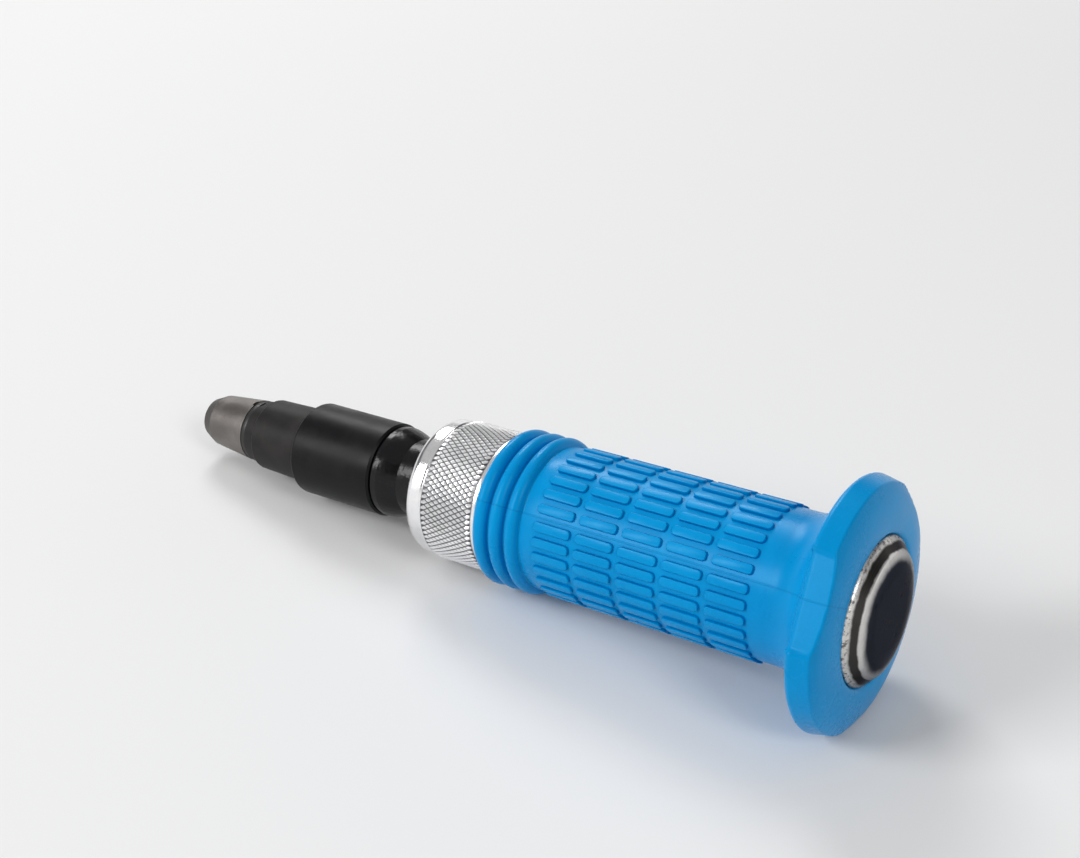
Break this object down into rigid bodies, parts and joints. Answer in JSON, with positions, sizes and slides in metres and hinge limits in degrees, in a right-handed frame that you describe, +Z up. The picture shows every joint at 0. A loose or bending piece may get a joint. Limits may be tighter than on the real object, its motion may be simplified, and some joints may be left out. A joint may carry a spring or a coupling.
{
  "type": "hand impact driver",
  "caption": "Hand-held impact driver: steel striking barrel in a blue moulded grip with a guard, knurled ring, cam spindle and detachable hex bit holder.",
  "frame": {"origin": "centre of the flat striking face", "axes": "+X along the tool's axis, out of the striking face; the bit socket opens towards -X; +Z up as the tool lies, the cross pin is along Z"},
  "size_m": [0.2033, 0.06, 0.0582],
  "materials": {
    "bright_steel": "turned and polished",
    "blue_grip": "soft gloss moulded vinyl",
    "ring_chrome": "plated, diamond knurled",
    "spring_steel": "hardened, oiled",
    "black_oxide": "black oxide, glossy",
    "holder_oxide": "black oxide, worn grey at the nose",
    "seal_rubber": "smooth nitrile",
    "ball_steel": "ground ball",
    "clip_steel": "blackened spring wire"
  },
  "bodies": {
    "barrel_body": {"barrel": "bright_steel", "grip_sleeve": "blue_grip", "cross_pin": "spring_steel", "snap_ring": "spring_steel", "return_spring": "spring_steel"},
    "ring_body": {"knurled_ring": "ring_chrome"},
    "slider_body": {"thrust_washer": "spring_steel"},
    "spindle_body": {"spindle": "black_oxide", "spindle_seal": "seal_rubber", "drive_ball_spring": "spring_steel"},
    "drive_ball_body": {"drive_ball": "ball_steel"},
    "holder_body": {"bit_holder": "holder_oxide", "ball_clip": "clip_steel"},
    "bit_ball_body": {"bit_ball": "ball_steel"}
  },
  "joints": [
    {"name": "strike_slide", "type": "slide", "parent": "barrel_body", "child": "slider_body", "axis": [1, 0, 0], "range_m": [0, 0.008], "stiffness_N_per_m": 3000, "springref_m": -0.01, "deforming": ["return_spring"]},
    {"name": "spindle_turn", "type": "hinge", "parent": "slider_body", "child": "spindle_body", "pos_m": [-0.1055, 0, 0], "axis": [1, 0, 0], "range_deg": [0, 18]},
    {"name": "ring_turn", "type": "hinge", "parent": "barrel_body", "child": "ring_body", "pos_m": [-0.1117, 0, 0], "axis": [1, 0, 0], "continuous": true},
    {"name": "holder_pull", "type": "slide", "parent": "spindle_body", "child": "holder_body", "axis": [-1, 0, 0], "range_m": [0, 0.018]},
    {"name": "drive_ball_press", "type": "slide", "parent": "spindle_body", "child": "drive_ball_body", "axis": [0, 0, -1], "range_m": [0, 0.00085], "stiffness_N_per_m": 200, "springref_m": -0.002, "deforming": ["drive_ball_spring"]},
    {"name": "bit_ball_press", "type": "slide", "parent": "holder_body", "child": "bit_ball_body", "axis": [0, 0, 1], "range_m": [0, 0.0006], "stiffness_N_per_m": 400, "springref_m": -0.002, "deforming": ["ball_clip"]}
  ],
  "couplings": [
    {"joint": "spindle_turn", "follows": "strike_slide", "rad_per_m": 39.27}
  ]
}
